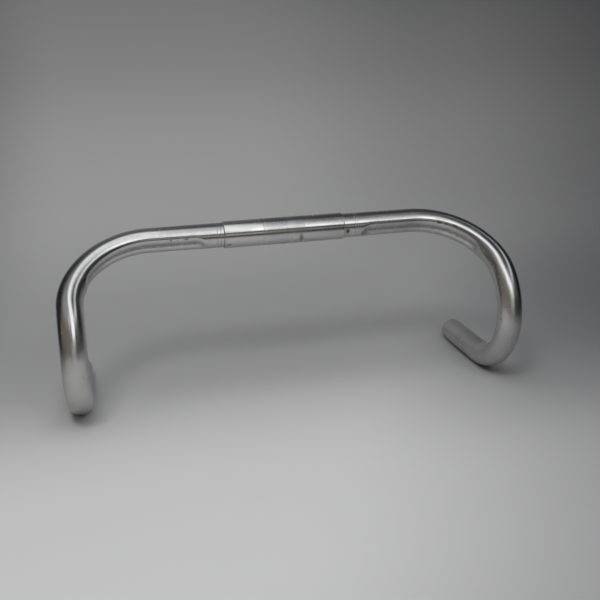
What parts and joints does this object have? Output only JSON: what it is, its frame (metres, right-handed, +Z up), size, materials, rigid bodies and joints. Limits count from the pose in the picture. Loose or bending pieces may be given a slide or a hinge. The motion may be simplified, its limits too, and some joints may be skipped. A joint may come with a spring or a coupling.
{
  "type": "bicycle handlebar",
  "caption": "Drop handlebar of bent aluminium tube for a road bicycle, with a thicker clamp sleeve in the middle and a pressed cable groove along each corner bend.",
  "frame": {"origin": "centre of the clamp sleeve, on the axis of the straight tops", "axes": "+X along the tops, to the right as seen from in front of the bicycle; +Y towards the rider, along the open ends of the drops; +Z up, with the drops level"},
  "size_m": [0.4342, 0.1502, 0.1684],
  "materials": {
    "bar_alloy": "polished and clear anodised, lightly worn",
    "sleeve_alloy": "satin anodised, dulled by a clamp"
  },
  "bodies": {
    "root": {"bar_tube": "bar_alloy", "centre_sleeve": "sleeve_alloy"}
  },
  "joints": []
}
